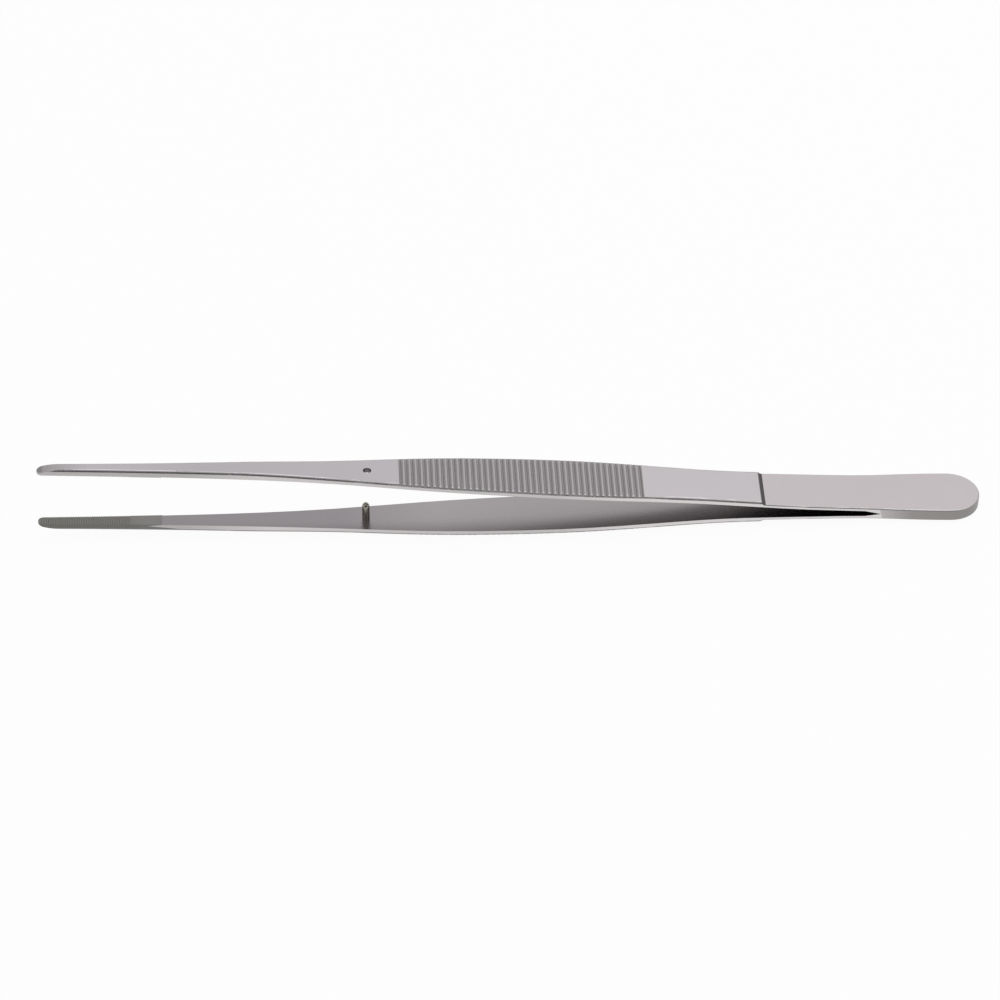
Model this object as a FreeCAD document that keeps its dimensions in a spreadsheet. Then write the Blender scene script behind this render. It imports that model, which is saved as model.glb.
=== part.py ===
import FreeCAD, Part
import math
import os
import Sketcher
from FreeCAD import Placement, Rotation, Vector

# Thumb forceps with a guide pin, in millimetres.
# Each leg is a forged and ground strip. The two legs are welded face to face at the heel, and their
# springiness opens them. A pin in the lower leg enters a hole in the upper leg when they close.
# A leg is drawn with X from the tips to the heel end, Y across and Z away from the plane between the legs.

# Driving dimensions: alias, value, what it is
SIZES = [
    ("overall_length", 200.0, "from the tips to the heel end"),
    ("weld_length", 21.5, "heel stretch where the legs are welded"),
    ("crotch_length", 3.5, "slope from the weld up to the ground inner face"),
    ("bend_start", 16.0, "heel end to the start of the spring's bend"),
    ("spring_radius", 599.0, "bend of the thinned spring"),
    ("spread_angle", 4.12, "steepest slope of a leg, in degrees"),
    ("straight_run", 2.0, "straight stretch between the spring's bend and the bow"),
    ("bow_radius", 1560.0, "bow of the grip back towards the axis"),
    ("front_angle", 0.45, "slope that is left at the tips, in degrees"),
    ("heel_thickness", 1.3, "one leg at the heel"),
    ("spring_thickness", 0.7, "one leg where it is ground thin"),
    ("grip_thickness", 1.24, "one leg from the step to the pin"),
    ("shaft_thickness", 1.57, "one leg at the thickest place of its shaft"),
    ("tip_thickness", 1.42, "one leg at the tip"),
    ("shaft_start", 41.0, "tips to the thickest place of the shaft"),
    ("swell_length", 26.0, "stretch in which the shaft swells from the grip's thickness"),
    ("step_position", 47.0, "heel end to the step behind the grip"),
    ("step_radius", 0.95, "hollow ground radius at the foot of the step"),
    ("tip_radius", 1.2, "round end of the tip, seen from above"),
    ("nose_length", 6.0, "tips to where the outer face starts to fall to the front edge"),
    ("nose_angle", 3.0, "slope at which that fall starts, in degrees"),
    ("nose_edge", 0.36, "metal that is left at the front edge"),
    ("heel_radius", 6.55, "full round heel end"),
    ("shoulder_radius", 0.5, "rounded outer edge of jaw, shaft and grip"),
    ("heel_edge_radius", 0.25, "rounded outer edge of spring and heel"),
    ("rib_count", 41, "cross grooves of the grip"),
    ("rib_pitch", 1.275, "spacing of the cross grooves"),
    ("rib_start", 76.6, "tips to the first cross groove"),
    ("rib_cutter_radius", 0.46, "round wheel that cuts the grooves"),
    ("rib_depth", 0.26, "depth of a cross groove"),
    ("jaw_length", 26.2, "jaw face that stands proud of the shaft"),
    ("jaw_proud", 0.1, "height of the jaw face above the shaft's inner face"),
    ("tooth_count", 38, "cross serrations of a jaw"),
    ("tooth_pitch", 0.5, "spacing of the serrations"),
    ("tooth_start", 0.7, "tips to the first serration"),
    ("tooth_width", 0.36, "width of a serration"),
    ("tooth_depth", 0.11, "depth of a serration"),
    ("pin_position", 69.45, "tips to the guide pin"),
    ("pin_diameter", 1.65, "guide pin"),
    ("pin_height", 4.1, "pin above the lower leg's inner face"),
    ("pin_nose", 1.1, "tapered nose of the pin"),
    ("pin_nose_radius", 0.5, "round end of the pin's nose"),
    ("guide_clearance", 0.15, "guide hole over the pin, on the diameter"),
    ("seat_clearance", 0.02, "pin seat over the pin, on the diameter"),
    ("blank_overhang", 1.0, "metal of the blank outside the finished outline"),
]

# Control points of the plan outline from the tips to the grip: name, distance from the tips, half width
FRONT_OUTLINE = [
    ("nose", 6.0, 1.25),
    ("jaw", 24.0, 1.5),
    ("shaft", 46.0, 2.28),
    ("shoulder", 64.0, 3.34),
    ("pin_place", 82.0, 5.18),
    ("front_grip", 98.0, 5.85),
    ("rear_grip", 118.0, 6.25),
]
# Control points of the plan outline behind the grip: name, distance from the heel end, half width
HEEL_OUTLINE = [
    ("neck", 58.0, 4.92),
    ("spring", 38.0, 5.88),
    ("heel_neck", 24.0, 5.6),
    ("heel_flare", 14.0, 6.55),
]
for points, start in ((FRONT_OUTLINE, "tips"), (HEEL_OUTLINE, "heel end")):
    for name, station, half_width in points:
        place = name.replace("_", " ")
        SIZES.append((name + "_station", station, start + " to the outline's point at the " + place))
        SIZES.append((name + "_half_width", half_width, "half width of the outline's point there"))

doc = FreeCAD.newDocument("thumb_forceps")
sheet = doc.addObject("Spreadsheet::Sheet", "sizes")
for row, (alias, value, meaning) in enumerate(SIZES, start=1):
    sheet.set("A%d" % row, meaning)
    sheet.set("B%d" % row, str(value))
    sheet.setAlias("B%d" % row, alias)
doc.recompute()


def size(alias):
    """The value of one cell of the sheet."""
    return float(sheet.get(alias))


# Straight stretch that is kept between the jaw's foot and the bow
SHORTEST_FRONT = 1.0

# Values worked out from the sheet. The leg's own curve is a level heel, the spring's bend, a straight run,
# the bow and a straight front. The leg's faces are this curve moved outwards by an offset.
spread = math.radians(size("spread_angle"))
relief = size("heel_thickness") - size("spring_thickness")
grip_offset = relief + size("grip_thickness")
arc_reach = size("spring_radius") + size("bow_radius")
spring_centre = Vector(size("overall_length") - size("bend_start"), size("spring_radius"), 0)
bow_centre = Vector(
    spring_centre.x - arc_reach * math.sin(spread) - size("straight_run") * math.cos(spread),
    spring_centre.y - arc_reach * math.cos(spread) + size("straight_run") * math.sin(spread),
    0,
)
# The bow ends where it has the front's slope, but behind the jaw's foot, because a jaw's face is straight
jaw_foot_reach = size("jaw_length") + SHORTEST_FRONT - bow_centre.x
front = max(math.radians(size("front_angle")), math.asin(jaw_foot_reach / (size("bow_radius") + relief)))
step_place = size("overall_length") - size("step_position")

# The same values as text, for the expressions that tie the sketches to the sheet
SPREAD = "(sizes.spread_angle * 1 deg)"
ARC_REACH = "(sizes.spring_radius + sizes.bow_radius)"
SPRING_X = "sizes.overall_length - sizes.bend_start"
BOW_X = SPRING_X + " - " + ARC_REACH + " * sin" + SPREAD + " - sizes.straight_run * cos" + SPREAD
BOW_Z = "sizes.spring_radius - " + ARC_REACH + " * cos" + SPREAD + " + sizes.straight_run * sin" + SPREAD
RELIEF = "(sizes.heel_thickness - sizes.spring_thickness)"
GRIP_RADIUS = "sizes.bow_radius + " + RELIEF + " + sizes.grip_thickness"

# Lengths under this one are joints between faces, and not edges of their own
SHORT_EDGE = 0.02
# Points along an edge that tell which face it belongs to
EDGE_SAMPLES = 5
# Accuracy of the points that tell what the part rests on
RESTING_ACCURACY = 0.01
# The blank is as wide as the widest place of the outline
FRONT_NAMES = [point[0] for point in FRONT_OUTLINE]
OUTLINE_NAMES = [point[0] for point in FRONT_OUTLINE + HEEL_OUTLINE]
OUTLINE_WIDTHS = ["sizes." + name + "_half_width" for name in OUTLINE_NAMES]
WIDEST = "max(" + "; ".join(OUTLINE_WIDTHS + ["sizes.heel_radius"]) + ")"


def outward(slope):
    """Unit vector away from the weld plane, where the leg has this slope."""
    return Vector(math.sin(slope), math.cos(slope), 0)


def on_spring(slope, offset):
    """Point of the spring's bend moved outwards by an offset."""
    return spring_centre - outward(slope) * (size("spring_radius") - offset)


def on_bow(slope, offset):
    """Point of the bow moved outwards by an offset."""
    return bow_centre + outward(slope) * (size("bow_radius") + offset)


def on_front(distance, offset):
    """Point of the straight front, at a distance from the tips, moved outwards by an offset."""
    end = on_bow(front, offset)
    return Vector(distance, end.y + (end.x - distance) * math.tan(front), 0)


def spring_slope(distance, offset):
    """Slope of the spring's bend at a distance from the tips."""
    return math.asin((spring_centre.x - distance) / (size("spring_radius") - offset))


def bow_slope(distance, offset):
    """Slope of the bow at a distance from the tips."""
    return math.asin((distance - bow_centre.x) / (size("bow_radius") + offset))


def leg_height(distance):
    """Height of the leg's own curve over the weld plane, at a distance from the tips."""
    if distance >= spring_centre.x:
        return 0.0
    if distance >= on_spring(spread, 0).x:
        return on_spring(spring_slope(distance, 0), 0).y
    if distance >= on_bow(front, 0).x:
        return on_bow(min(bow_slope(distance, 0), spread), 0).y
    return on_front(distance, 0).y


def origin_plane(body, role):
    """One of the body's own origin planes."""
    return [feature for feature in body.Origin.OriginFeatures if feature.Role == role][0]


def new_sketch(body, name, role, offset=Placement()):
    """A sketch on one of the body's origin planes, moved and turned there by an offset."""
    sketch = body.newObject("Sketcher::SketchObject", name)
    sketch.AttachmentSupport = [(origin_plane(body, role), "")]
    sketch.MapMode = "FlatFace"
    sketch.AttachmentOffset = offset
    return sketch


def bound(sketch, constraint, name, expression):
    """Adds a named constraint whose value follows an expression."""
    index = sketch.addConstraint(constraint)
    sketch.renameConstraint(index, name)
    sketch.setExpression("Constraints." + name, expression)


def line(start, end):
    """A straight piece of an outline."""
    return Part.LineSegment(start, end)


def arc(centre, start, end):
    """The shorter arc about a centre between two points."""
    radius = (start - centre).Length
    first, last = [math.atan2(point.y - centre.y, point.x - centre.x) for point in (start, end)]
    if (last - first) % (2 * math.pi) > math.pi:
        first, last = last, first
    return Part.ArcOfCircle(Part.Circle(centre, Vector(0, 0, 1), radius), first, last)


def side_outline():
    """Named pieces of a leg's side view, in order: inner side to the tip, outer side back to the heel."""
    heel = size("heel_thickness")
    hollow = size("step_radius")
    heel_end = size("overall_length") + size("blank_overhang")
    tip_end = -size("blank_overhang")
    proud = Vector(0, size("jaw_proud"), 0)

    weld_end = Vector(size("overall_length") - size("weld_length"), 0, 0)
    crotch = on_spring(spring_slope(weld_end.x - size("crotch_length"), relief), relief)
    inner_run = on_spring(spread, relief), on_bow(spread, relief)
    inner_front = on_bow(front, relief)
    jaw_foot = on_front(size("jaw_length"), relief)
    tip_inner = on_front(tip_end, relief) - proud

    tip_outer = on_front(tip_end, relief + size("tip_thickness"))
    shaft_top = on_front(size("shaft_start"), relief + size("shaft_thickness"))
    swell_slope = bow_slope(size("shaft_start") + size("swell_length"), grip_offset)
    swell_foot = on_bow(swell_slope, grip_offset)
    outer_run = on_bow(spread, grip_offset), on_spring(spread, grip_offset)
    step_slope = spring_slope(step_place, grip_offset)
    step_top = on_spring(step_slope, grip_offset)

    # The hollow of the step touches the spring's outer face and ends at the top of the step
    hollow_reach = size("spring_radius") - heel - hollow
    top_reach = size("spring_radius") - grip_offset
    swing = math.acos((hollow_reach ** 2 + top_reach ** 2 - hollow ** 2) / (2 * hollow_reach * top_reach))
    hollow_centre = on_spring(step_slope - swing, heel + hollow)
    step_foot = on_spring(step_slope - swing, heel)
    heel_start = on_spring(0, heel)

    # The swell leaves the shaft's line and the grip's bow along their own directions
    handle = size("swell_length") / 3
    shaft_run = (shaft_top - tip_outer).normalize() * handle
    bow_run = Vector(math.cos(swell_slope), -math.sin(swell_slope), 0) * handle
    swell_poles = [shaft_top, shaft_top + shaft_run, swell_foot - bow_run, swell_foot]

    return [
        ("weld_face", line(Vector(heel_end, 0, 0), weld_end)),
        ("crotch", line(weld_end, crotch)),
        ("inner_spring", arc(spring_centre, crotch, inner_run[0])),
        ("inner_run", line(inner_run[0], inner_run[1])),
        ("inner_bow", arc(bow_centre, inner_run[1], inner_front)),
        ("inner_shaft", line(inner_front, jaw_foot)),
        ("jaw_step", line(jaw_foot, jaw_foot - proud)),
        ("jaw_face", line(jaw_foot - proud, tip_inner)),
        ("tip_end", line(tip_inner, tip_outer)),
        ("outer_shaft", line(tip_outer, shaft_top)),
        ("swell", Part.BSplineCurve(swell_poles, None, None, False, 3, None, False)),
        ("outer_bow", arc(bow_centre, swell_foot, outer_run[0])),
        ("outer_run", line(outer_run[0], outer_run[1])),
        ("outer_spring", arc(spring_centre, outer_run[1], step_top)),
        ("step_hollow", arc(hollow_centre, step_top, step_foot)),
        ("spring_back", arc(spring_centre, step_foot, heel_start)),
        ("heel_back", line(heel_start, Vector(heel_end, heel, 0))),
        ("heel_end", line(Vector(heel_end, heel, 0), Vector(heel_end, 0, 0))),
    ]


def draw_side(sketch):
    """Draws a leg's side view and ties its arcs and stations to the sheet."""
    pieces = side_outline()
    index = {name: sketch.addGeometry(shape, False) for name, shape in pieces}
    followers = pieces[1:] + pieces[:1]
    for (name, shape), (next_name, next_shape) in zip(pieces, followers):
        for place, point in enumerate((shape.StartPoint, shape.EndPoint), start=1):
            for next_place, next_point in enumerate((next_shape.StartPoint, next_shape.EndPoint), start=1):
                if (point - next_point).Length < SHORT_EDGE:
                    ends = (index[name], place, index[next_name], next_place)
                    sketch.addConstraint(Sketcher.Constraint("Coincident", *ends))

    centres = [
        ("inner_spring", spring_centre, SPRING_X, "sizes.spring_radius"),
        ("outer_spring", spring_centre, SPRING_X, "sizes.spring_radius"),
        ("spring_back", spring_centre, SPRING_X, "sizes.spring_radius"),
        ("inner_bow", bow_centre, BOW_X, BOW_Z),
        ("outer_bow", bow_centre, BOW_X, BOW_Z),
    ]
    for name, centre, x_text, z_text in centres:
        across = Sketcher.Constraint("DistanceX", -1, 1, index[name], 3, centre.x)
        bound(sketch, across, name + "_centre_x", x_text)
        upright = Sketcher.Constraint("DistanceY", -1, 1, index[name], 3, centre.y)
        bound(sketch, upright, name + "_centre_z", z_text)

    radii = {
        "inner_spring": "sizes.spring_radius - " + RELIEF,
        "outer_spring": "sizes.spring_radius - " + RELIEF + " - sizes.grip_thickness",
        "spring_back": "sizes.spring_radius - sizes.heel_thickness",
        "inner_bow": "sizes.bow_radius + " + RELIEF,
        "outer_bow": GRIP_RADIUS,
        "step_hollow": "sizes.step_radius",
    }
    for name, shape in pieces:
        if name in radii:
            radius = Sketcher.Constraint("Radius", index[name], shape.Radius)
            bound(sketch, radius, name + "_radius", radii[name])

    stations = [
        ("weld_face", 1, "sizes.overall_length + sizes.blank_overhang"),
        ("weld_face", 2, "sizes.overall_length - sizes.weld_length"),
        ("crotch", 2, "sizes.overall_length - sizes.weld_length - sizes.crotch_length"),
        ("jaw_face", 1, "sizes.jaw_length"),
        ("outer_shaft", 2, "sizes.shaft_start"),
        ("tip_end", 1, "-1 * sizes.blank_overhang"),
    ]
    shapes = dict(pieces)
    for name, place, text in stations:
        point = (shapes[name].StartPoint, shapes[name].EndPoint)[place - 1]
        station = Sketcher.Constraint("DistanceX", -1, 1, index[name], place, point.x)
        bound(sketch, station, "%s_%d" % (name, place), text)


def draw_plan(sketch):
    """Draws a leg's plan view as a hole in a frame that is wider than the blank."""
    length = size("overall_length")
    tip = size("tip_radius")
    heel = size("heel_radius")
    overhang = size("blank_overhang")
    poles = [("sizes.tip_radius", tip, "sizes.tip_radius", tip)]
    for name in OUTLINE_NAMES:
        text = "sizes." + name + "_station"
        place = size(name + "_station")
        if name not in FRONT_NAMES:
            text = "sizes.overall_length - " + text
            place = length - place
        width = name + "_half_width"
        poles.append((text, place, "sizes." + width, size(width)))
    poles.append(("sizes.overall_length - sizes.heel_radius", length - heel, "sizes.heel_radius", heel))

    for side, sign in (("far", 1), ("near", -1)):
        points = [Vector(x, sign * y, 0) for x_text, x, y_text, y in poles]
        spline = sketch.addGeometry(Part.BSplineCurve(points, None, None, False, 3, None, False), False)
        sketch.exposeInternalGeometry(spline)
        for number, (x_text, x, y_text, y) in enumerate(poles):
            pole = spline + 1 + number
            name = "%s_pole_%d" % (side, number)
            bound(sketch, Sketcher.Constraint("DistanceX", -1, 1, pole, 3, x), name + "_x", x_text)
            upright = Sketcher.Constraint("DistanceY", -1, 1, pole, 3, sign * y)
            bound(sketch, upright, name + "_y", "%d * %s" % (sign, y_text))

    up = Vector(0, 0, 1)
    quarter = math.pi / 2
    tip_circle = Part.Circle(Vector(tip, 0, 0), up, tip)
    heel_circle = Part.Circle(Vector(length - heel, 0, 0), up, heel)
    sketch.addGeometry(Part.ArcOfCircle(tip_circle, quarter, 3 * quarter), False)
    sketch.addGeometry(Part.ArcOfCircle(heel_circle, -quarter, quarter), False)

    across = max(pole[3] for pole in poles) + 2 * overhang
    frame = [
        Vector(-2 * overhang, -across, 0),
        Vector(length + 2 * overhang, -across, 0),
        Vector(length + 2 * overhang, across, 0),
        Vector(-2 * overhang, across, 0),
    ]
    for start, end in zip(frame, frame[1:] + frame[:1]):
        sketch.addGeometry(line(start, end), False)


def add_feature(body, kind, name):
    """Adds a feature that follows the body's last one."""
    return body.newObject("PartDesign::" + kind, name)


def cut_through(body, name, sketch):
    """A pocket through everything on both sides of its sketch, which has to remove metal."""
    before = body.Shape.Volume
    pocket = add_feature(body, "Pocket", name)
    pocket.Profile = sketch
    pocket.Type = "ThroughAll"
    pocket.SideType = "Symmetric"
    doc.recompute()
    if pocket.Shape.Volume >= before:
        raise RuntimeError(name + " removed nothing")
    return pocket


def outer_edges(shape, start, end):
    """Names of the edges round the outer face, between two distances from the tips."""
    names = []
    for number, edge in enumerate(shape.Edges, start=1):
        box = edge.BoundBox
        if box.XLength < SHORT_EDGE or box.XMin < start or box.XMax > end:
            continue
        heights = [point.z - leg_height(point.x) for point in edge.discretize(EDGE_SAMPLES)]
        if min(heights) > size("heel_thickness") - SHORT_EDGE:
            names.append("Edge%d" % number)
    return names


def cut_ribs(body):
    """Cross grooves of the grip, turned one by one about the centre of the bow."""
    cutter_radius = size("rib_cutter_radius")
    reach = size("bow_radius") + grip_offset + cutter_radius - size("rib_depth")
    slope = bow_slope(size("rib_start"), grip_offset)
    offset = Placement(bow_centre, Rotation(Vector(0, 0, 1), -math.degrees(slope)))
    sketch = new_sketch(body, "rib_cutter", "XZ_Plane", offset)
    sketch.setExpression("AttachmentOffset.Base.x", BOW_X)
    sketch.setExpression("AttachmentOffset.Base.y", BOW_Z)
    circle = sketch.addGeometry(Part.Circle(Vector(0, reach, 0), Vector(0, 0, 1), cutter_radius), False)
    sketch.addConstraint(Sketcher.Constraint("PointOnObject", circle, 3, -2))
    reach_text = GRIP_RADIUS + " + sizes.rib_cutter_radius - sizes.rib_depth"
    bound(sketch, Sketcher.Constraint("DistanceY", -1, 1, circle, 3, reach), "reach", reach_text)
    bound(sketch, Sketcher.Constraint("Radius", circle, cutter_radius), "cutter", "sizes.rib_cutter_radius")
    groove = cut_through(body, "rib", sketch)
    pattern = add_feature(body, "PolarPattern", "ribs")
    pattern.Originals = [groove]
    pattern.Axis = (sketch, ["N_Axis"])
    pattern.Reversed = True
    turn_text = "(sizes.rib_count - 1) * sizes.rib_pitch / (" + GRIP_RADIUS + ") * 180 / pi"
    pattern.setExpression("Angle", turn_text)
    pattern.setExpression("Occurrences", "sizes.rib_count")
    body.Tip = pattern
    doc.recompute()


def cut_teeth(body):
    """Cross serrations of the jaw, repeated along its face."""
    proud = size("jaw_proud")
    corner = on_front(size("tooth_start"), relief) - Vector(0, proud, 0)
    offset = Placement(corner, Rotation(Vector(0, 0, 1), -math.degrees(front)))
    sketch = new_sketch(body, "tooth_cutter", "XZ_Plane", offset)
    # The cutter is a triangle that starts below the face, so that it opens the groove fully
    flank = size("tooth_width") / 2 * (1 + proud / size("tooth_depth"))
    corners = [Vector(-flank, -proud, 0), Vector(flank, -proud, 0), Vector(0, size("tooth_depth"), 0)]
    for start, end in zip(corners, corners[1:] + corners[:1]):
        sketch.addGeometry(line(start, end), False)
    groove = cut_through(body, "tooth", sketch)
    pattern = add_feature(body, "LinearPattern", "teeth")
    pattern.Originals = [groove]
    pattern.Direction = (sketch, ["H_Axis"])
    pattern.setExpression("Length", "(sizes.tooth_count - 1) * sizes.tooth_pitch")
    pattern.setExpression("Occurrences", "sizes.tooth_count")
    body.Tip = pattern
    doc.recompute()


def round_nose(body):
    """Grinds the outer face down to a low front edge, in a round fall seen from the side."""
    shaft = dict(side_outline())["outer_shaft"]
    along = (shaft.EndPoint - shaft.StartPoint).normalize()
    overhang = size("blank_overhang")
    length = size("nose_length")
    reach = length + overhang
    slope = math.degrees(math.atan2(along.y, along.x))
    offset = Placement(shaft.StartPoint + along * reach, Rotation(Vector(0, 0, 1), slope))
    sketch = new_sketch(body, "nose_cutter", "XZ_Plane", offset)
    # The fall is an arc that leaves the outer face at a small angle and has dropped to the edge at the tip
    drop = size("tip_thickness") - size("nose_edge")
    angle = math.radians(size("nose_angle"))
    radius = (length ** 2 + drop ** 2) / (2 * (drop * math.cos(angle) - length * math.sin(angle)))
    centre = Vector(radius * math.sin(angle), -radius * math.cos(angle), 0)
    top = centre + Vector(0, radius, 0)
    front = Vector(-reach, centre.y + math.sqrt(radius ** 2 - (reach + centre.x) ** 2), 0)
    fall = sketch.addGeometry(arc(centre, top, front), False)
    corners = [front, Vector(-reach, overhang, 0), Vector(top.x, overhang, 0), top]
    for first, last in zip(corners, corners[1:]):
        sketch.addGeometry(line(first, last), False)
    drop_text = "(sizes.tip_thickness - sizes.nose_edge)"
    angle_text = "(sizes.nose_angle * 1 deg)"
    rest_text = "(" + drop_text + " * cos" + angle_text + " - sizes.nose_length * sin" + angle_text + ")"
    radius_text = "(sizes.nose_length ^ 2 + " + drop_text + " ^ 2) / (2 * " + rest_text + ")"
    bound(sketch, Sketcher.Constraint("Radius", fall, radius), "fall", radius_text)
    cut_through(body, "nose", sketch)


def round_edges(body, name, base, start, end, alias):
    """Rounds the edges of the outer face between two distances from the tips."""
    fillet = add_feature(body, "Fillet", name)
    fillet.Base = (base, outer_edges(base.Shape, start, end))
    fillet.setExpression("Radius", "sizes." + alias)
    doc.recompute()
    return fillet


def make_forging():
    """The leg as both are made: forged blank, ground outline, rounded edges, ribs and serrations."""
    body = doc.addObject("PartDesign::Body", "leg_forging")
    side = new_sketch(body, "side_view", "XZ_Plane")
    draw_side(side)
    blank = add_feature(body, "Pad", "blank")
    blank.Profile = side
    blank.SideType = "Symmetric"
    blank.setExpression("Length", "2 * (" + WIDEST + " + sizes.blank_overhang)")
    doc.recompute()
    plan = new_sketch(body, "plan_view", "XY_Plane")
    draw_plan(plan)
    outline = cut_through(body, "outline", plan)
    shoulder_end = step_place + SHORT_EDGE
    shoulder = round_edges(body, "shoulder", outline, -SHORT_EDGE, shoulder_end, "shoulder_radius")
    hollow_middle = step_place + size("step_radius") / 2
    heel_end = size("overall_length") + SHORT_EDGE
    round_edges(body, "heel_edge", shoulder, hollow_middle, heel_end, "heel_edge_radius")
    round_nose(body)
    cut_ribs(body)
    cut_teeth(body)
    return body


def make_leg(label, forging, clearance):
    """One leg: the forging with a round hole for the pin, square to its face."""
    body = doc.addObject("PartDesign::Body", label)
    body.BaseFeature = forging
    doc.recompute()
    slope = bow_slope(size("pin_position"), relief)
    point = on_bow(slope, relief)
    offset = Placement(Vector(point.x, 0, point.y), Rotation(Vector(0, 1, 0), math.degrees(slope)))
    sketch = new_sketch(body, label + "_hole_circle", "XY_Plane", offset)
    radius = (size("pin_diameter") + size(clearance)) / 2
    circle = sketch.addGeometry(Part.Circle(Vector(0, 0, 0), Vector(0, 0, 1), radius), False)
    sketch.addConstraint(Sketcher.Constraint("Coincident", circle, 3, -1, 1))
    diameter = Sketcher.Constraint("Diameter", circle, 2 * radius)
    bound(sketch, diameter, "hole", "sizes.pin_diameter + sizes." + clearance)
    cut_through(body, label + "_pin_hole", sketch)
    return body


def make_pin():
    """The turned guide pin, from its flush foot up: straight shank, tapered nose and round end."""
    body = doc.addObject("PartDesign::Body", "guide_pin")
    radius = size("pin_diameter") / 2
    height = size("grip_thickness") + size("pin_height")
    nose = size("pin_nose")
    tip = size("pin_nose_radius")
    sketch = new_sketch(body, "guide_pin_half", "XZ_Plane")
    # The nose is a curve from the shank's side to the round end
    end_top = Vector(0, height, 0)
    nose_middle = Vector(radius, height - nose / 2, 0)
    poles = [Vector(radius, height - nose, 0), nose_middle, Vector(tip, height, 0), end_top]
    sketch.addGeometry(line(Vector(0, 0, 0), Vector(radius, 0, 0)), False)
    sketch.addGeometry(line(Vector(radius, 0, 0), poles[0]), False)
    sketch.addGeometry(Part.BSplineCurve(poles, None, None, False, 3, None, False), False)
    sketch.addGeometry(line(end_top, Vector(0, 0, 0)), False)
    for piece, follower in ((0, 1), (1, 2), (2, 3), (3, 0)):
        sketch.addConstraint(Sketcher.Constraint("Coincident", piece, 2, follower, 1))
    sketch.addConstraint(Sketcher.Constraint("Coincident", 0, 1, -1, 1))
    sketch.addConstraint(Sketcher.Constraint("Horizontal", 0))
    sketch.addConstraint(Sketcher.Constraint("Vertical", 1))
    sketch.addConstraint(Sketcher.Constraint("Vertical", 3))
    bound(sketch, Sketcher.Constraint("DistanceX", 0, 1, 0, 2, radius), "radius", "sizes.pin_diameter / 2")
    height_text = "sizes.grip_thickness + sizes.pin_height"
    shank = Sketcher.Constraint("DistanceY", 1, 1, 1, 2, height - nose)
    bound(sketch, shank, "shank", height_text + " - sizes.pin_nose")
    bound(sketch, Sketcher.Constraint("DistanceY", 3, 2, 3, 1, height), "height", height_text)
    turned = add_feature(body, "Revolution", "guide_pin_turned")
    turned.Profile = sketch
    turned.ReferenceAxis = (sketch, ["V_Axis"])
    turned.Angle = 360
    doc.recompute()
    return body


def lowest_line(points, middle):
    """The lowest edge of a side view that lies under the centre of mass: what the part rests on."""
    hull = []
    for point in sorted(points, key=lambda point: point.x):
        while len(hull) > 1:
            left, right = hull[-2:]
            if (right.x - left.x) * (point.y - left.y) > (right.y - left.y) * (point.x - left.x):
                break
            hull.pop()
        hull.append(point)
    for left, right in zip(hull, hull[1:]):
        if left.x <= middle <= right.x:
            return left, right
    raise RuntimeError("nothing lies under the centre of mass")


def lay_down(bodies):
    """Turns and lifts the assembled bodies, so that the lower leg lies on the ground under the origin."""
    volume = sum(body.Shape.Volume for body in bodies)
    middle = sum(body.Shape.Volume * body.Shape.CenterOfGravity.x for body in bodies) / volume
    points = []
    for name, shape in side_outline():
        points.extend(shape.toShape().discretize(Deflection=RESTING_ACCURACY))
    last = size("overall_length") - size("heel_edge_radius")
    below = [Vector(point.x, -point.y, 0) for point in points if 0 < point.x < last]
    below.append(Vector(last, -size("heel_thickness"), 0))
    left, right = lowest_line(below, middle)
    tilt = math.atan2(right.y - left.y, right.x - left.x)
    turn = Placement(Vector(0, 0, 0), Rotation(Vector(0, 1, 0), math.degrees(tilt)))
    for body in bodies:
        body.Placement = turn.multiply(body.Placement)
    box = Part.makeCompound([body.Shape for body in bodies]).optimalBoundingBox(False)
    shift = Placement(Vector(-box.Center.x, 0, -box.ZMin), Rotation())
    for body in bodies:
        body.Placement = shift.multiply(body.Placement)
    print("tilt at rest", round(math.degrees(tilt), 3), "degrees, resting from", left, "to", right)
    print("moved along by", round(-box.Center.x, 3), "and up by", round(-box.ZMin, 3))


leg_forging = make_forging()
upper_leg = make_leg("upper_leg", leg_forging, "guide_clearance")
lower_leg = make_leg("lower_leg", leg_forging, "seat_clearance")
guide_pin = make_pin()

# The lower leg is the upper one turned over about the line between the legs
turned_over = Placement(Vector(0, 0, 0), Rotation(Vector(1, 0, 0), 180))
lower_leg.Placement = turned_over

# The pin's foot is flush with the lower leg's outer face, and the pin stands square to the leg
pin_slope = bow_slope(size("pin_position"), relief)
pin_foot = on_bow(pin_slope, grip_offset)
pin_turn = Rotation(Vector(0, 1, 0), math.degrees(pin_slope)).multiply(turned_over.Rotation)
guide_pin.Placement = turned_over.multiply(Placement(Vector(pin_foot.x, 0, pin_foot.y), pin_turn))

nodes = [upper_leg, lower_leg, guide_pin]
lay_down(nodes)

for obj in doc.Objects:
    if "Invalid" in obj.State or "Error" in obj.State:
        raise RuntimeError("%s failed: %s" % (obj.Label, obj.State))
for node in nodes:
    if node.Shape.isNull() or not node.Shape.isValid():
        raise RuntimeError(node.Label + " has no valid shape")

os.makedirs("parts", exist_ok=True)
for node in nodes:
    node.Shape.exportStep("parts/" + node.Label + ".step")
    solids = len(node.Shape.Solids)
    print(node.Label, "solids", solids, "volume", round(node.Shape.Volume, 2), node.Shape.BoundBox)
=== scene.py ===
# %% [markdown]
# # Thumb forceps with a guide pin
# Thumb forceps are large tweezers: two springy legs of stainless steel, welded together at the heel. The
# solids already have their true size and shape. This lesson loads them, makes a steel for each way in which
# the faces were ground or polished, gives every face its steel, and sets up a white floor, soft light and a
# camera.

# %% Load the solids
import math

import bpy
from mathutils import Matrix, Vector


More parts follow.
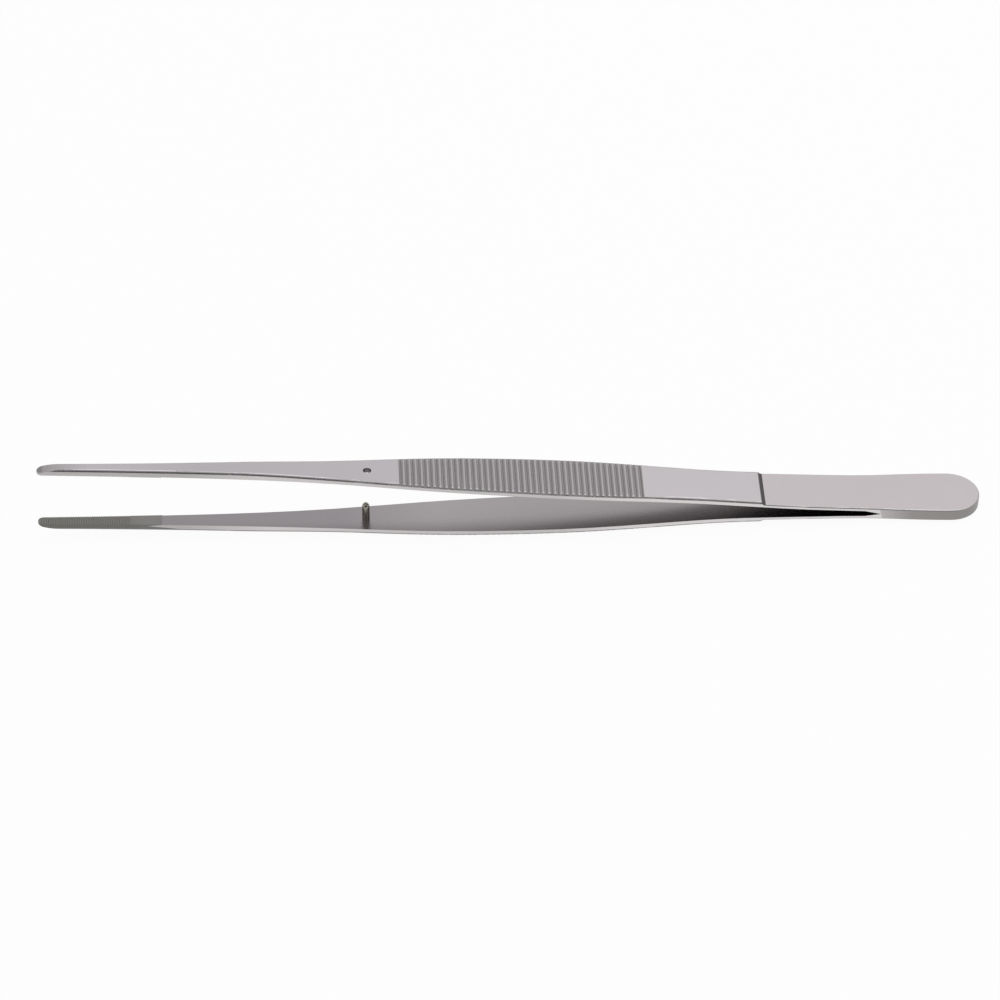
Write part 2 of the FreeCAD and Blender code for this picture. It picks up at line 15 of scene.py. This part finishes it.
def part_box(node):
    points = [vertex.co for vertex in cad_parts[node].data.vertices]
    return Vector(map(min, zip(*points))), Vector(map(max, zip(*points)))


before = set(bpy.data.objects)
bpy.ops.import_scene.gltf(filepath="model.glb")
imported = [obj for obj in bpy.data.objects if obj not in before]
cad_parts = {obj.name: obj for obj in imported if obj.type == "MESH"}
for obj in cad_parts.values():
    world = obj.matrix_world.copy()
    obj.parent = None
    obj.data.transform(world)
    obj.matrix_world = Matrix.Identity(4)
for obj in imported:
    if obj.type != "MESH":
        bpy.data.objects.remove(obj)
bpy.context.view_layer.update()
MM = 0.001
print("solids:", sorted(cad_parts))

# %% [markdown]
# ## The forceps' own directions
# The forceps lie on their lower leg, so their long axis dips a little towards the heel. Faces are easier to
# sort in the forceps' own directions: along from the tips to the heel, across the legs, and the way the
# legs spread. The outer face of the welded heel is flat and lies along the axis, so the way it looks gives
# that dip. It could be typed in as an angle, but read from the solid it stays right when the solid changes.

# %% Find the axis and the place along it
OVERALL_LENGTH = 200.0 * MM
# The heel's outer face is looked for in this last stretch
HEEL_STRETCH = 8 * MM
# It looks up at least this squarely, as a cosine
LOOKS_UP = 0.9

upper_low, upper_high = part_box("upper_leg")
heel_faces = [
    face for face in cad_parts["upper_leg"].data.polygons
    if face.center.x > upper_high.x - HEEL_STRETCH and face.normal.z > LOOKS_UP
]
ACROSS = Vector((0, 1, 0))
SPREAD = max(heel_faces, key=lambda face: face.area).normal.copy()
ALONG = ACROSS.cross(SPREAD).normalized()
# The heel end is the upper leg's farthest and lowest place, and the tips are one overall length ahead of it
HEEL_END = Vector((upper_high.x, 0, upper_low.z))
TIPS = HEEL_END - ALONG * OVERALL_LENGTH


def station(point):
    """How far a point is from the tips, measured along the forceps."""
    return (point - TIPS).dot(ALONG)


print("dip of the axis in degrees:", round(math.degrees(math.asin(SPREAD.x)), 3))
print("tips at", [round(c / MM, 2) for c in TIPS], "heel end at", [round(c / MM, 2) for c in HEEL_END])

# %% [markdown]
# ## Helpers for materials
# A material is a small chain of nodes. One function adds any node, sets its values and joins its inputs, so
# that each recipe below reads from top to bottom. Colours are written as they would be picked from a
# screen, and one function turns them to the linear light that a renderer works in.

# %% Colour and node helpers


def linear(code):
    """Turns a screen colour such as C8C6C4 to linear red, green, blue and full alpha."""
    channels = [int(code[i:i + 2], 16) / 255 for i in (0, 2, 4)]
    return [c / 12.92 if c <= 0.04045 else ((c + 0.055) / 1.055) ** 2.4 for c in channels] + [1.0]


def add_node(tree, kind, inputs=None, **settings):
    """Adds a node with its settings. An input is a value, or an output socket to join to it."""
    made = tree.nodes.new(kind)
    for name, value in settings.items():
        setattr(made, name, value)
    for key, value in (inputs or {}).items():
        if isinstance(value, bpy.types.NodeSocket):
            tree.links.new(value, made.inputs[key])
        else:
            made.inputs[key].default_value = value
    return made


def empty_material(name):
    """A material with no nodes yet."""
    material = bpy.data.materials.new(name)
    material.use_nodes = True
    material.node_tree.nodes.clear()
    return material


print("helpers ready, mid grey is", [round(c, 3) for c in linear("808080")])

# %% [markdown]
# ## The colour of the steel, with painted light and shade
# All pieces are martensitic stainless steel, a greyish metal. A metal's colour is the colour of its mirror
# image, so the base colour is light. Here it isn't the same all over. It shifts along the length with the
# wheel that ground each stretch and with painted light and shade, which is darkest where the legs meet.
# Handling leaves soft clouds, and the inner faces darken towards one edge with painted shade. All three
# could be painted on an image. Here each is a small chain of nodes that works from the place on the steel,
# so nothing has to be unwrapped, and each shift can be read and changed by itself.

# %% Three shifts of colour
# The grey that handling leaves, how wide its clouds are, and how much finer structure they have
CLOUD_TINT = "A7A3A3"
CLOUD_SIZE = 9 * MM
CLOUD_DETAIL = 2.0
# The strip across the legs, on the negative Y side, over which the painted shade along one edge fades out
SHADED_EDGE = -6.2 * MM
SHADED_EDGE_END = -0.5 * MM


def shade_along(tree, position, shades):
    """Colour that goes softly from shade to shade. Each has its distance from the tips in millimetres."""
    share = add_node(tree, "ShaderNodeMapRange", {
        "Value": position.outputs["X"], "From Min": TIPS.x, "From Max": HEEL_END.x})
    ramp = add_node(tree, "ShaderNodeValToRGB", {"Fac": share.outputs["Result"]})
    stops = ramp.color_ramp.elements
    while len(stops) < len(shades):
        stops.new(1.0)
    for stop, (distance, colour) in zip(stops, shades):
        stop.position = distance * MM / OVERALL_LENGTH
        stop.color = linear(colour)
    return ramp.outputs["Color"]


def add_clouds(tree, place, colour, cloudiness):
    """The colour with clouds of handling grey. Cloudiness is the share of grey in the thickest cloud."""
    clouds = add_node(tree, "ShaderNodeTexNoise", {
        "Vector": place, "Scale": 1 / CLOUD_SIZE, "Detail": CLOUD_DETAIL})
    factor = add_node(tree, "ShaderNodeMath", {
        0: clouds.outputs["Fac"], 1: cloudiness}, operation="MULTIPLY")
    mixed = add_node(tree, "ShaderNodeMix", {
        "Factor": factor.outputs["Value"], "A": colour, "B": linear(CLOUD_TINT)}, data_type="RGBA")
    return mixed.outputs["Result"]


def paint_shade_on_one_edge(tree, position, colour, painted_edge_shade):
    """The colour, darkened by painted shade towards one edge, with only the given share of it left at that
    edge.
    """
    across = add_node(tree, "ShaderNodeMapRange", {
        "Value": position.outputs["Y"], "From Min": SHADED_EDGE, "From Max": SHADED_EDGE_END,
        "To Min": painted_edge_shade, "To Max": 1.0}, interpolation_type="SMOOTHSTEP")
    darkened = add_node(tree, "ShaderNodeMix", {
        "Factor": 1.0, "A": colour, "B": across.outputs["Result"]}, data_type="RGBA", blend_type="MULTIPLY")
    return darkened.outputs["Result"]


print("the legs' colours run from X", round(TIPS.x / MM, 1), "to", round(HEEL_END.x / MM, 1), "mm")

# %% [markdown]
# ## The marks of grinding
# What tells one finish from another is the size of the marks that a wheel, a belt or glass beads leave.
# Modelled as real grooves they would need millions of faces. A noise pattern that is stretched along the
# marks does the same for the eye: it varies the roughness a little and bends the surface by about a
# thousandth of a millimetre. Real grinding marks are a few hundredths of a millimetre wide, which is too
# fine for this picture. They are drawn 0.05 to 0.15 mm wide, which is as coarse as they need to be to
# soften what the steel mirrors.

# %% A recipe for finished steel
# How many finer layers of marks lie on the coarse ones, and how strong each is beside the one before
MARK_DETAIL = 3.0
MARK_RAGGEDNESS = 0.6
# Nearly all of a noise pattern lies between these two values
NOISE_LOW = 0.3
NOISE_HIGH = 0.7


def finished_steel(name, shades, cloudiness, roughness, spread, mark_width, mark_length, mark_depth,
                   lay="along", painted_edge_shade=1.0):
    """Stainless steel whose marks have a width, a length and a depth in millimetres.

    Roughness goes up and down by spread from mark to mark. Lay says which way the marks run: along the
    forceps or across them. An edge share below 1 paints shade along one edge of the faces.
    """
    material = empty_material(name)
    tree = material.node_tree
    place = add_node(tree, "ShaderNodeTexCoord").outputs["Object"]
    position = add_node(tree, "ShaderNodeSeparateXYZ", {"Vector": place})
    shaded = shade_along(tree, position, shades)
    clouded = add_clouds(tree, place, shaded, cloudiness)
    colour = paint_shade_on_one_edge(tree, position, clouded, painted_edge_shade)
    long_way = 1 / (mark_length * MM)
    short_way = 1 / (mark_width * MM)
    scale = (long_way, short_way, short_way) if lay == "along" else (short_way, long_way, short_way)
    stretched = add_node(tree, "ShaderNodeMapping", {"Vector": place, "Scale": scale})
    marks = add_node(tree, "ShaderNodeTexNoise", {
        "Vector": stretched.outputs["Vector"], "Scale": 1.0,
        "Detail": MARK_DETAIL, "Roughness": MARK_RAGGEDNESS})
    rough = add_node(tree, "ShaderNodeMapRange", {
        "Value": marks.outputs["Fac"], "From Min": NOISE_LOW, "From Max": NOISE_HIGH,
        "To Min": roughness - spread, "To Max": roughness + spread})
    bump = add_node(tree, "ShaderNodeBump", {
        "Height": marks.outputs["Fac"], "Strength": 1.0, "Distance": mark_depth * MM})
    steel = add_node(tree, "ShaderNodeBsdfPrincipled", {
        "Base Color": colour, "Metallic": 1.0, "Roughness": rough.outputs["Result"],
        "Normal": bump.outputs["Normal"]})
    add_node(tree, "ShaderNodeOutputMaterial", {"Surface": steel.outputs["BSDF"]})
    print("finish:", name)
    return material


# %% [markdown]
# ## The outer faces
# The outer face of each leg is flat ground and then brushed along the leg. Behind the step the springs are
# ground thinner on a finer wheel, and in the grip the cutter's marks run across. One steel with masks could
# hold all three finishes, but three plain ones are easier to read, and each face simply takes the one that
# it needs.

# %% Steel of the outer faces
# Ground and brushed: a calm sheen with a touch of pink and no clear mirror image, darker at the tips
SATIN = finished_steel(
    "satin_ground_stainless",
    shades=[
        (0, "8C8789"), (5, "A5A0A3"), (11, "B5B0B4"), (22, "B3AEB2"),
        (34, "AEA9AD"), (60, "B1ACB0"), (125, "BAB5B8"),
    ],
    cloudiness=0.15, roughness=0.34, spread=0.03,
    mark_width=0.12, mark_length=6.0, mark_depth=0.0008)

# Marked across: the tops of the ribs are a shade greyer than the face around them
RIB_TOPS = finished_steel(
    "ribbed_grip_stainless",
    shades=[(0, "A09B9E"), (200, "A29DA0")],
    cloudiness=0.15, roughness=0.36, spread=0.03,
    mark_width=0.1, mark_length=2.0, mark_depth=0.001, lay="across")

# Ground on a finer wheel: the springs and the heel look lighter and a little shinier
FINE = finished_steel(
    "fine_ground_spring_stainless",
    shades=[(0, "BEB7B9"), (200, "BBB5B7")],
    cloudiness=0.15, roughness=0.3, spread=0.03,
    mark_width=0.1, mark_length=5.0, mark_depth=0.0006)

# %% [markdown]
# ## The edges and the sides
# The rounded edges are buffed on a soft wheel, and the sides of the legs are polished bright. The heel is
# welded from two layers, and its side is linished on a belt until the weld is flush. These faces are
# narrow, and together they draw the bright and dark lines that show the outline, partly as what they mirror
# and partly as painted highlight and shade in their colours. One steel for all of them would be simpler,
# but then the lines would look alike, so each kind has its own.

# %% Steel of the edges and sides
# Polished: bright bands that mirror the white floor, with painted highlight in the lighter shades along the
# length, brightest towards the heel
POLISHED_WITH_PAINTED_HIGHLIGHT = finished_steel(
    "polished_side_painted_highlight_stainless",
    shades=[
        (0, "B8B4B4"), (30, "B3AFAF"), (48, "D0CCCC"), (80, "C8C4C4"), (110, "C6C2C2"), (124, "DAD6D6"),
    ],
    cloudiness=0.1, roughness=0.26, spread=0.03,
    mark_width=0.15, mark_length=8.0, mark_depth=0.0006)

# Buffed: thin dark grey lines along the edges and down the flanks of the grooves, partly the dark card
# mirrored and partly painted dark reflection and shade in the base colour
BUFFED_WITH_PAINTED_DARK = finished_steel(
    "buffed_edge_painted_dark_stainless",
    shades=[(0, "7C797A"), (3, "858283"), (40, "8A8788"), (80, "979495"), (200, "9E9B9C")],
    cloudiness=0.1, roughness=0.4, spread=0.03,
    mark_width=0.15, mark_length=8.0, mark_depth=0.0006)

# Linished over the weld: a grey side that hides the joint, and bright only where the weld starts
HEEL_SIDE = finished_steel(
    "linished_heel_stainless",
    shades=[(177.5, "BFBBBB"), (185, "979492"), (200, "8E8B89")],
    cloudiness=0.1, roughness=0.36, spread=0.03,
    mark_width=0.1, mark_length=3.0, mark_depth=0.001)

# %% [markdown]
# ## The grooves, the inner faces, the jaws and the pin
# These are the places that nobody polishes. The grooves, the step and the guide hole stay as the cutter
# left them, and the inner faces as the belt left them. The grooves, the guide hole, the hollow of the step
# and the inner faces, most where the legs meet, also carry painted shade in their colour. The jaws are
# blasted with glass beads, so that they don't glare under a lamp, and the pin is turned. Each gets a steel
# of its own, because each takes the light in its own way.

# %% Steel of the rest
# Milled: rough, and dark with painted shade so the grooves read as cuts; the hollow of the step is painted
# darkest, as its shadow
MILLED_WITH_PAINTED_SHADE = finished_steel(
    "milled_groove_painted_shade_stainless",
    shades=[(0, "787475"), (151, "726E6F"), (152.5, "474343")],
    cloudiness=0.1, roughness=0.45, spread=0.04,
    mark_width=0.08, mark_length=1.0, mark_depth=0.001, lay="across")

# Belt ground: greyer than the outer faces, with painted shade that darkens one edge and, darkest of all,
# the stretch where the legs meet
BELT_GROUND_WITH_PAINTED_SHADE = finished_steel(
    "belt_ground_painted_shade_stainless",
    shades=[
        (28, "8B8689"), (64, "8F8A8D"), (84, "9F9A9C"), (120, "9A9596"), (146, "949091"), (165, "625E5F"),
    ],
    cloudiness=0.1, roughness=0.26, spread=0.03,
    mark_width=0.12, mark_length=5.0, mark_depth=0.0004, painted_edge_shade=0.68)

# Blasted: a dull, warmer grey without any direction, as the marks of the beads are as long as they are wide
BLASTED = finished_steel(
    "bead_blasted_stainless",
    shades=[(0, "74726D"), (19, "75736F"), (22, "7C7A78")],
    cloudiness=0.1, roughness=0.5, spread=0.04,
    mark_width=0.1, mark_length=0.1, mark_depth=0.002)

# Turned: a warm grey with one soft highlight down the pin
TURNED = finished_steel(
    "turned_pin_stainless",
    shades=[(0, "918C84"), (200, "918C84")],
    cloudiness=0.1, roughness=0.25, spread=0.04,
    mark_width=0.05, mark_length=0.4, mark_depth=0.0006)

# %% [markdown]
# ## Sorting the faces
# Each leg is one solid, so its finishes are given face by face. A face belongs to the outer side, the inner
# side, the edges or the sides by the way it looks, and to the jaws, the grip or the heel by its distance
# from the tips. Faces could also be picked by hand, but a rule picks both legs alike and holds when a solid
# gets new faces.

# %% Places along the legs
# Distances from the tips
JAW_LENGTH = 26.3 * MM
FIRST_GROOVE = 76.6 * MM
STEP_START = 152.95 * MM
STEP_END = 153.8 * MM
WELD_START = 178.0 * MM
HOLE_PLACE = 69.45 * MM
# The grooves of the grip
GROOVE_COUNT = 41
GROOVE_SPACING = 1.2743 * MM
# A groove's bottom reaches this far to either side of its middle
GROOVE_BOTTOM = 0.16 * MM
GRIP_START = FIRST_GROOVE - GROOVE_BOTTOM
# The grip ends half a spacing behind its last groove
GRIP_END = FIRST_GROOVE + (GROOVE_COUNT - 0.5) * GROOVE_SPACING
# The guide hole's radius is 0.9 mm, and this circle around its middle takes in the whole of its wall
HOLE_REACH = 1.3 * MM
print("grip from", round(GRIP_START / MM, 2), "to", round(GRIP_END / MM, 2), "mm from the tips")

# %% [markdown]
# ## The way a face looks
# One number tells the outer face, the edges, the sides and the inner face apart: the cosine between the way
# a face looks and the way that its leg faces outward. It is 1 on the outer face, 0 on a side and -1 on the
# inner face. Angles would do as well, but the cosine is what a dot product gives at once. The milled places
# are tested first, because they lie inside the outer face.

# %% Which faces are milled
# The bottom of a groove and of the step look outward by at least this
CUT_FACE = 0.2
# The wall of the guide hole looks neither outward nor inward by more than this
HOLE_WALL = 0.3


def is_milled_and_shaded(place, y, facing):
    """Is a face on the bottom of a groove, in the hollow of the step or in the guide hole, milled places
    that also take painted shade?
    """
    groove = round((place - FIRST_GROOVE) / GROOVE_SPACING)
    from_middle = abs(place - FIRST_GROOVE - groove * GROOVE_SPACING)
    in_groove = 0 <= groove < GROOVE_COUNT and from_middle < GROOVE_BOTTOM and facing > CUT_FACE
    in_step = STEP_START < place < STEP_END and facing > CUT_FACE
    in_hole = abs(facing) < HOLE_WALL and math.hypot(place - HOLE_PLACE, y) < HOLE_REACH
    return in_groove or in_step or in_hole


print("the first groove's middle is milled:", is_milled_and_shaded(FIRST_GROOVE, 0.0, 1.0))

# %% Rules for all faces
# Flat outer faces, rounded edges and sides look outward by at least these values. The rest is inner face
FLAT_FACE = 0.975
EDGE_FACE = 0.15
SIDE_FACE = -0.5
# The lower jaw's sides were blasted along with its face
BLASTED_SIDES = ["lower_leg"]


def outer_finish(place):
    """The finish of the flat outer face at a distance from the tips."""
    if place > STEP_END:
        return FINE
    return RIB_TOPS if GRIP_START < place < GRIP_END else SATIN


def side_finish(name, place):
    """The finish of one leg's sides at a distance from the tips."""
    if name in BLASTED_SIDES and place < JAW_LENGTH:
        return BLASTED
    return HEEL_SIDE if place > WELD_START else POLISHED_WITH_PAINTED_HIGHLIGHT


def choose_finish(name, place, y, facing):
    """The finish of a face, from its leg, its place along and across it, and the way it looks."""
    if is_milled_and_shaded(place, y, facing):
        return MILLED_WITH_PAINTED_SHADE
    if facing > FLAT_FACE:
        return outer_finish(place)
    if facing > EDGE_FACE:
        return BUFFED_WITH_PAINTED_DARK
    if facing > SIDE_FACE:
        return side_finish(name, place)
    return BLASTED if place < JAW_LENGTH else BELT_GROUND_WITH_PAINTED_SHADE


middle_of_grip = (GRIP_START + GRIP_END) / 2
print("flat outer face in the middle of the grip:", outer_finish(middle_of_grip).name)

# %% Give every face its finish
FINISHES = [SATIN, RIB_TOPS, FINE, POLISHED_WITH_PAINTED_HIGHLIGHT, BUFFED_WITH_PAINTED_DARK, HEEL_SIDE, MILLED_WITH_PAINTED_SHADE, BELT_GROUND_WITH_PAINTED_SHADE, BLASTED]


def finish_leg(name, outward):
    """Gives the faces of one leg their finishes. Outward is the way its outer face looks."""
    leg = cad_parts[name].data
    leg.materials.clear()
    for finish in FINISHES:
        leg.materials.append(finish)
    counts = {finish.name: 0 for finish in FINISHES}
    for face in leg.polygons:
        facing = face.normal.dot(outward)
        finish = choose_finish(name, station(face.center), face.center.y, facing)
        face.material_index = FINISHES.index(finish)
        counts[finish.name] += 1
    print(name, "faces:", counts)


finish_leg("upper_leg", SPREAD)
finish_leg("lower_leg", -SPREAD)
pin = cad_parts["guide_pin"].data
pin.materials.clear()
pin.materials.append(TURNED)
print("guide_pin faces:", len(pin.polygons))

# %% [markdown]
# ## Floor and surround
# Small tools are photographed on white paper in a white room. Strong lamps could burn a grey floor out to
# white, but they would burn out the steel as well. Here the floor and the surround are plain white only
# where the camera or the metal looks at them. Even there a small share of the floor stays real matt paper,
# which keeps the forceps' soft shadow.

# %% Rays that show the background


def add_seen(tree):
    """Is this ray one that shows the background: from the camera, mirrored, or through glass?"""
    ray = add_node(tree, "ShaderNodeLightPath")
    first = add_node(tree, "ShaderNodeMath", {
        0: ray.outputs["Is Camera Ray"], 1: ray.outputs["Is Glossy Ray"]}, operation="MAXIMUM")
    seen = add_node(tree, "ShaderNodeMath", {
        0: first.outputs["Value"], 1: ray.outputs["Is Transmission Ray"]}, operation="MAXIMUM")
    return seen.outputs["Value"]


print("rays that show the background: camera, glossy and transmission")

# %% Floor
FLOOR_SIZE = 6.0
# A hair below the lower leg, so that the two never lie in one plane
FLOOR_DROP = 0.02 * MM
# The share of the floor's look that is plain white. The rest is matt paper
WHITE_SHARE = 0.94
bpy.ops.mesh.primitive_plane_add(size=FLOOR_SIZE, location=(0, 0, -FLOOR_DROP))
floor = bpy.context.object
floor.name = "floor"
# White paper: it shines by itself where it is seen, and its matt share darkens softly under the forceps
paper = empty_material("white_paper")
tree = paper.node_tree
share = add_node(tree, "ShaderNodeMath", {0: add_seen(tree), 1: WHITE_SHARE}, operation="MULTIPLY")
matt = add_node(tree, "ShaderNodeBsdfDiffuse", {"Color": linear("F4F4F4")})
white = add_node(tree, "ShaderNodeEmission", {"Color": linear("FFFFFF"), "Strength": 1.0})
both = add_node(tree, "ShaderNodeMixShader", {
    0: share.outputs["Value"], 1: matt.outputs["BSDF"], 2: white.outputs["Emission"]})
add_node(tree, "ShaderNodeOutputMaterial", {"Surface": both.outputs["Shader"]})
floor.data.materials.append(paper)
print("white floor of", FLOOR_SIZE, "m")

# %% Surround
# How strongly the surround lights the forceps, and how bright it is itself where it is seen
SURROUND_LIGHT = 0.7
SURROUND_SEEN = 1.0
world = bpy.data.worlds.new("white_surround")
bpy.context.scene.world = world
world.use_nodes = True
tree = world.node_tree
tree.nodes.clear()
level = add_node(tree, "ShaderNodeMix", {
    "Factor": add_seen(tree), "A": SURROUND_LIGHT, "B": SURROUND_SEEN}, data_type="FLOAT")
surround = add_node(tree, "ShaderNodeBackground", {
    "Color": linear("FFFFFF"), "Strength": level.outputs["Result"]})
add_node(tree, "ShaderNodeOutputWorld", {"Surface": surround.outputs["Background"]})
print("surround lights at", SURROUND_LIGHT, "and is seen at", SURROUND_SEEN)

# %% [markdown]
# ## Lamp
# One large soft lamp hangs over the floor, a little behind the forceps and towards the heel. Several small
# lamps could give as much light, but one large lamp gives a softer shadow, and steel mirrors it as one calm
# area.

# %% Lamp
LAMP_SIZE = 1.2
LAMP_DISTANCE = 1.4
LAMP_ENERGY = 5.0
LAMP_WAY = Vector((0.25, 0.2, 1.0)).normalized()
lamp = bpy.data.lights.new("overhead_softbox", "AREA")
lamp.shape = "SQUARE"
lamp.size = LAMP_SIZE
lamp.energy = LAMP_ENERGY
softbox = bpy.data.objects.new("overhead_softbox", lamp)
bpy.context.scene.collection.objects.link(softbox)
softbox.location = LAMP_WAY * LAMP_DISTANCE
softbox.rotation_mode = "QUATERNION"
softbox.rotation_quaternion = LAMP_WAY.to_track_quat("Z", "Y")
print("lamp of", LAMP_SIZE, "m at", [round(c, 3) for c in softbox.location])

# %% [markdown]
# ## Dark card
# In an all-white room steel looks flat, because it mirrors nothing but white. Studios stand a dark card
# where the camera can't see it, and here it stands behind the camera. The rounded edges mirror it as thin
# dark lines, which tell the eye where a flat face ends. Lines that are painted on would stay in place when
# the forceps turn, while mirrored ones move as they do on real steel. Part of these lines is still painted,
# as dark reflection and shade in the buffed edges' colour.

# %% Dark card
CARD_WIDTH = 3.0
CARD_HEIGHT = 1.1
CARD_DISTANCE = 1.5
bpy.ops.mesh.primitive_plane_add(
    size=1.0, location=(0, -CARD_DISTANCE, CARD_HEIGHT / 2), rotation=(math.radians(90), 0, 0))
card = bpy.context.object
card.name = "dark_card"
card.scale = (CARD_WIDTH, CARD_HEIGHT, 1.0)
# Black felt: matt and nearly black, so all that shows of it is its dark mirror image in the steel
felt = empty_material("black_felt")
cloth = add_node(felt.node_tree, "ShaderNodeBsdfDiffuse", {"Color": linear("2C2B2C")})
add_node(felt.node_tree, "ShaderNodeOutputMaterial", {"Surface": cloth.outputs["BSDF"]})
card.data.materials.append(felt)
print("card of", CARD_WIDTH, "by", CARD_HEIGHT, "m at", CARD_DISTANCE, "m")

# %% [markdown]
# ## Camera
# The photograph was taken with a long lens from about a metre away, from above and slightly from the tips'
# side. It could be turned by hand until the picture fits. But the forceps' axis runs level through the
# photograph, so the camera's directions are worked out from that axis, and only two angles are chosen: how
# high the camera stands, and how far it stands towards the tips.

# %% Place the camera
# The lens and the sensor are in millimetres, as they are marked on a camera
FOCAL_LENGTH = 169.2
SENSOR_WIDTH = 36.0
CAMERA_DISTANCE = 0.997
CAMERA_RISE = math.radians(38.0)
CAMERA_TURN = math.radians(3.04)
AIM_FROM_TIPS = 97.76 * MM
AIM_BELOW_AXIS = 0.723 * MM

level_back = -ACROSS * math.cos(CAMERA_RISE) + SPREAD * math.sin(CAMERA_RISE)
back = (level_back * math.cos(CAMERA_TURN) - ALONG * math.sin(CAMERA_TURN)).normalized()
up = (ACROSS * math.sin(CAMERA_RISE) + SPREAD * math.cos(CAMERA_RISE)).normalized()
right = up.cross(back).normalized()
aim = TIPS + ALONG * AIM_FROM_TIPS - up * AIM_BELOW_AXIS
turn = Matrix((right, up, back)).transposed().to_4x4()

lens = bpy.data.cameras.new("camera")
lens.lens = FOCAL_LENGTH
lens.sensor_width = SENSOR_WIDTH
camera = bpy.data.objects.new("camera", lens)
bpy.context.scene.collection.objects.link(camera)
camera.matrix_world = Matrix.Translation(aim + back * CAMERA_DISTANCE) @ turn
bpy.context.scene.camera = camera
bpy.context.scene.view_settings.view_transform = "Standard"
print("camera at", [round(c, 4) for c in camera.location])
